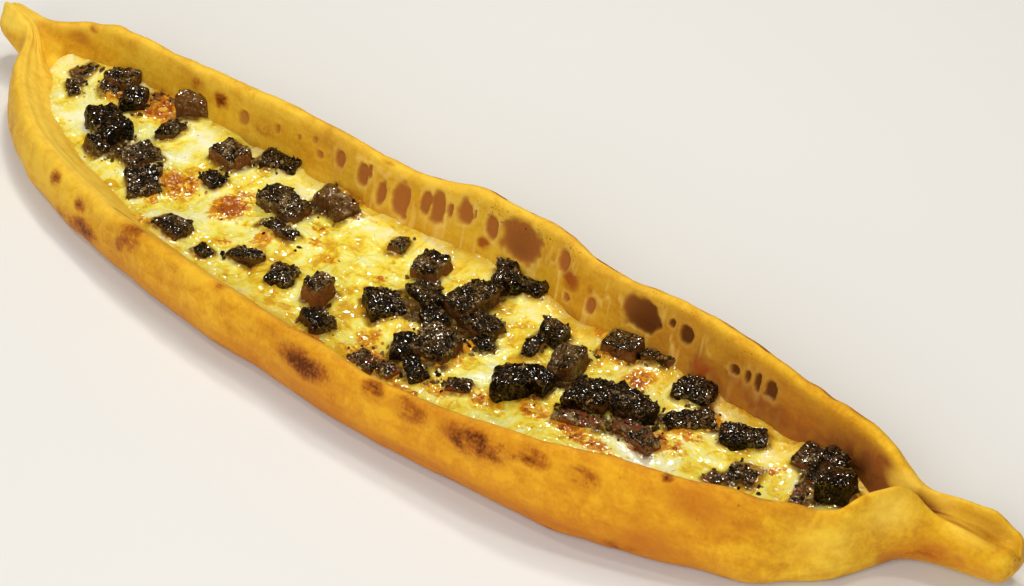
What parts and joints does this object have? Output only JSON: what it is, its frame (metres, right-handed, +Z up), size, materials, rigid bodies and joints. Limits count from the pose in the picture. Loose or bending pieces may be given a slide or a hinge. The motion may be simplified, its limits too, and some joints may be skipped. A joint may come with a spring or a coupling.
{
  "type": "roast meat and cheese pide",
  "caption": "Long boat-shaped flatbread with a raised rim and pinched ends, filled with melted cheese and small roast meat pieces.",
  "frame": {"origin": "centre of the bounding box on the table plane, under the flat underside", "axes": "+X along the length, towards the end with the folded tail; +Y across, towards the higher side wall; +Z up"},
  "size_m": [0.4318, 0.0971, 0.0323],
  "materials": {
    "crust": "matte",
    "cheese": "gloss",
    "meat": "satin"
  },
  "bodies": {
    "root": {"bread": "crust", "cheese": "cheese", "meat_01": "meat", "meat_02": "meat", "meat_03": "meat", "meat_04": "meat", "meat_05": "meat", "meat_06": "meat", "meat_07": "meat", "meat_08": "meat", "meat_09": "meat", "meat_10": "meat", "meat_11": "meat", "meat_12": "meat", "meat_13": "meat", "meat_14": "meat", "meat_15": "meat", "meat_16": "meat", "meat_17": "meat", "meat_18": "meat", "meat_19": "meat", "meat_20": "meat", "meat_21": "meat", "meat_22": "meat", "meat_23": "meat", "meat_24": "meat", "meat_25": "meat", "meat_26": "meat", "meat_27": "meat", "meat_28": "meat", "meat_29": "meat", "meat_30": "meat", "meat_31": "meat", "meat_32": "meat", "meat_33": "meat", "meat_34": "meat", "meat_35": "meat", "meat_36": "meat", "meat_37": "meat", "meat_38": "meat", "meat_39": "meat", "meat_40": "meat", "meat_41": "meat", "meat_42": "meat", "meat_43": "meat", "meat_44": "meat", "meat_45": "meat", "meat_46": "meat", "meat_47": "meat", "meat_48": "meat", "meat_49": "meat", "meat_50": "meat", "meat_51": "meat", "meat_52": "meat"}
  },
  "joints": []
}
